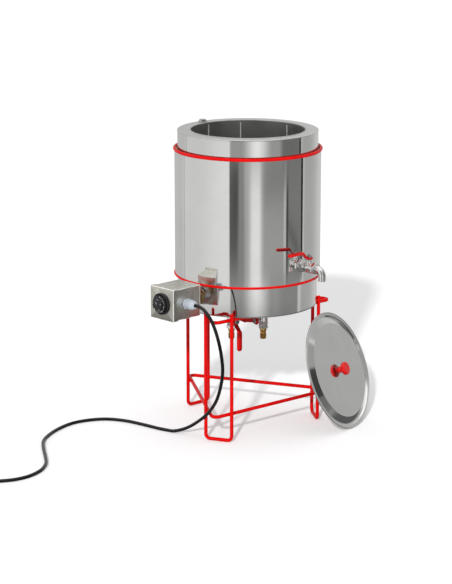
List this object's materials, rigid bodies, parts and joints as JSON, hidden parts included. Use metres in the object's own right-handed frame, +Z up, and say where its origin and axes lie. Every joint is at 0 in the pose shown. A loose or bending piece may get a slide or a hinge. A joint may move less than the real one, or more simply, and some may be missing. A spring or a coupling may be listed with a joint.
{
  "type": "candle wax melter",
  "caption": "Round water-jacketed wax melting tank on a red rod stand, with a heater and thermostat box, a pouring tap, drain valves, a lid and a mains cord.",
  "frame": {"origin": "on the floor, under the centre line of the tank", "axes": "+Z up along the tank's centre line; -Y is the front, between the control box on the left and the pouring tap on the right; +X is to the right"},
  "size_m": [1.203, 0.9376, 0.861],
  "materials": {
    "red_enamel": "gloss red enamel",
    "polished_steel": "mirror polished",
    "sheet_steel": "mill finish",
    "lid_steel": "satin spun",
    "mineral_wool": "matte fibre",
    "red_rubber": "satin",
    "zinc_steel": "bright",
    "nickelled_brass": "nickel plated, slightly worn",
    "chrome_plate": "mirror",
    "red_grip": "dipped vinyl, glossy",
    "plain_brass": "machined",
    "element_steel": "oxidised",
    "box_steel": "brushed",
    "black_plastic": "satin moulded",
    "white_plastic": "matte",
    "grey_plastic": "satin moulded",
    "cord_rubber": "matte",
    "tie_rubber": "matte",
    "red_plastic": "gloss moulded"
  },
  "bodies": {
    "root": {"leg_front": "red_enamel", "leg_left": "red_enamel", "leg_right": "red_enamel", "rest_triangle": "red_enamel", "brace_triangle": "red_enamel", "jacket_shell": "polished_steel", "jacket_base": "sheet_steel", "wax_vessel": "sheet_steel", "top_rim": "polished_steel", "cladding_sheath": "polished_steel", "insulation": "mineral_wool", "upper_edge_trim": "red_rubber", "lower_edge_trim": "red_rubber", "filler_plug": "zinc_steel", "tap_nipple": "zinc_steel", "tap_body": "nickelled_brass", "tap_spout": "chrome_plate", "wax_drain_nipple": "zinc_steel", "wax_drain_body": "nickelled_brass", "wax_drain_tail": "plain_brass", "water_drain_nipple": "zinc_steel", "water_drain_body": "nickelled_brass", "water_drain_tail": "plain_brass", "heater_boss": "zinc_steel", "heater_head": "plain_brass", "heating_element": "element_steel", "sensor_pocket": "sheet_steel", "box_shell": "box_steel", "box_cover": "box_steel", "cover_screws": "zinc_steel", "thermostat": "white_plastic", "dial_bezel": "black_plastic", "terminal_block": "white_plastic", "neck_locknut": "zinc_steel", "gland_body": "grey_plastic", "gland_nut": "grey_plastic", "gland_locknut": "grey_plastic", "supply_cord": "cord_rubber", "cord_coil": "cord_rubber", "coil_tie": "tie_rubber", "plug_body": "cord_rubber", "plug_pins": "zinc_steel"},
    "tap_handle": {"tap_lever": "red_grip", "tap_nut": "zinc_steel", "tap_stem": "zinc_steel", "tap_ball": "nickelled_brass"},
    "wax_drain_handle": {"wax_drain_lever": "red_grip", "wax_drain_nut": "zinc_steel", "wax_drain_stem": "zinc_steel", "wax_drain_ball": "nickelled_brass"},
    "water_drain_handle": {"water_drain_lever": "red_grip", "water_drain_nut": "zinc_steel", "water_drain_stem": "zinc_steel", "water_drain_ball": "nickelled_brass"},
    "knob": {"control_knob": "black_plastic"},
    "lid": {"lid_disc": "lid_steel", "lid_knob": "red_plastic", "lid_knob_screw": "zinc_steel"}
  },
  "joints": [
    {"name": "tap_turn", "type": "hinge", "parent": "root", "child": "tap_handle", "pos_m": [0.1702, -0.16436, 0.493], "axis": [0, 0, 1], "range_deg": [0, 90]},
    {"name": "wax_drain_turn", "type": "hinge", "parent": "root", "child": "wax_drain_handle", "pos_m": [-0.0455, 0, 0.3], "axis": [-0.5446, 0.8387, 0], "range_deg": [0, 90]},
    {"name": "water_drain_turn", "type": "hinge", "parent": "root", "child": "water_drain_handle", "pos_m": [0.0455, 0, 0.3], "axis": [-0.829, -0.5592, 0], "range_deg": [0, 90]},
    {"name": "knob_turn", "type": "hinge", "parent": "root", "child": "knob", "pos_m": [-0.23353, -0.26332, 0.4134], "axis": [0.7009, 0.7133, 0], "range_deg": [0, 270]},
    {"name": "lid_lift_off", "type": "slide", "parent": "root", "child": "lid", "axis": [0.878, -0.4787, 0], "range_m": [0, 0.3]}
  ]
}
